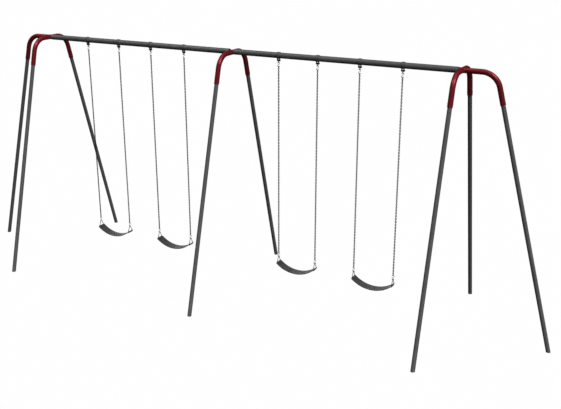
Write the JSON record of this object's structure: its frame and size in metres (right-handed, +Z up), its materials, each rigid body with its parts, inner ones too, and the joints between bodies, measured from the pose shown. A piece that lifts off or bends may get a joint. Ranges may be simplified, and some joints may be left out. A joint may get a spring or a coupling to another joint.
{
  "type": "swing set",
  "caption": "Two-bay tubular playground swing set with bent corner yokes, straight splayed legs, round top rails and belt seats hung on chains.",
  "frame": {"origin": "on the ground under the middle of the frame", "axes": "+Z up, +X along the top rails, -Y towards the front feet"},
  "size_m": [9.8036, 2.748, 3.708],
  "materials": {
    "grey_paint": "charcoal grey powder coat, satin",
    "red_paint": "dark red powder coat, semi-gloss",
    "cast_hanger": "dark cast iron, satin",
    "zinc": "bright zinc plate",
    "chain": "dull galvanised steel",
    "shackle": "zinc-plated wire",
    "belt_rubber": "black moulded rubber, lightly ribbed"
  },
  "bodies": {
    "frame": {"rail_left": "grey_paint", "rail_right": "grey_paint", "yoke_left": "red_paint", "yoke_middle": "red_paint", "yoke_right": "red_paint", "leg_left_front": "grey_paint", "leg_left_back": "grey_paint", "leg_left_outer": "grey_paint", "leg_middle_front": "grey_paint", "leg_middle_back": "grey_paint", "leg_right_front": "grey_paint", "leg_right_back": "grey_paint", "leg_right_outer": "grey_paint", "clamp_1_left": "cast_hanger", "pivot_bolt_1_left": "zinc", "clamp_1_right": "cast_hanger", "pivot_bolt_1_right": "zinc", "clamp_2_left": "cast_hanger", "pivot_bolt_2_left": "zinc", "clamp_2_right": "cast_hanger", "pivot_bolt_2_right": "zinc", "clamp_3_left": "cast_hanger", "pivot_bolt_3_left": "zinc", "clamp_3_right": "cast_hanger", "pivot_bolt_3_right": "zinc", "clamp_4_left": "cast_hanger", "pivot_bolt_4_left": "zinc", "clamp_4_right": "cast_hanger", "pivot_bolt_4_right": "zinc"},
    "swing_1": {"pendulum_1_left": "cast_hanger", "chain_1_left": "chain", "pendulum_1_right": "cast_hanger", "chain_1_right": "chain"},
    "swing_2": {"pendulum_2_left": "cast_hanger", "chain_2_left": "chain", "pendulum_2_right": "cast_hanger", "chain_2_right": "chain"},
    "swing_3": {"pendulum_3_left": "cast_hanger", "chain_3_left": "chain", "pendulum_3_right": "cast_hanger", "chain_3_right": "chain"},
    "swing_4": {"pendulum_4_left": "cast_hanger", "chain_4_left": "chain", "pendulum_4_right": "cast_hanger", "chain_4_right": "chain"},
    "seat_1": {"shackle_1_left": "shackle", "shackle_1_right": "shackle", "belt_seat_1": "belt_rubber"},
    "seat_2": {"shackle_2_left": "shackle", "shackle_2_right": "shackle", "belt_seat_2": "belt_rubber"},
    "seat_3": {"shackle_3_left": "shackle", "shackle_3_right": "shackle", "belt_seat_3": "belt_rubber"},
    "seat_4": {"shackle_4_left": "shackle", "shackle_4_right": "shackle", "belt_seat_4": "belt_rubber"}
  },
  "joints": [
    {"name": "swing_1_pivot", "type": "hinge", "parent": "frame", "child": "swing_1", "pos_m": [-2.349, 0, 3.592], "axis": [1, 0, 0], "range_deg": [-60, 60]},
    {"name": "seat_1_tilt", "type": "hinge", "parent": "swing_1", "child": "seat_1", "pos_m": [-2.349, 0, 0.596], "axis": [1, 0, 0], "range_deg": [-40, 40]},
    {"name": "swing_2_pivot", "type": "hinge", "parent": "frame", "child": "swing_2", "pos_m": [-1.127, 0, 3.592], "axis": [1, 0, 0], "range_deg": [-60, 60]},
    {"name": "seat_2_tilt", "type": "hinge", "parent": "swing_2", "child": "seat_2", "pos_m": [-1.127, 0, 0.596], "axis": [1, 0, 0], "range_deg": [-40, 40]},
    {"name": "swing_3_pivot", "type": "hinge", "parent": "frame", "child": "swing_3", "pos_m": [1.097, 0, 3.592], "axis": [1, 0, 0], "range_deg": [-60, 60]},
    {"name": "seat_3_tilt", "type": "hinge", "parent": "swing_3", "child": "seat_3", "pos_m": [1.097, 0, 0.596], "axis": [1, 0, 0], "range_deg": [-40, 40]},
    {"name": "swing_4_pivot", "type": "hinge", "parent": "frame", "child": "swing_4", "pos_m": [2.338, 0, 3.592], "axis": [1, 0, 0], "range_deg": [-60, 60]},
    {"name": "seat_4_tilt", "type": "hinge", "parent": "swing_4", "child": "seat_4", "pos_m": [2.338, 0, 0.596], "axis": [1, 0, 0], "range_deg": [-40, 40]}
  ]
}
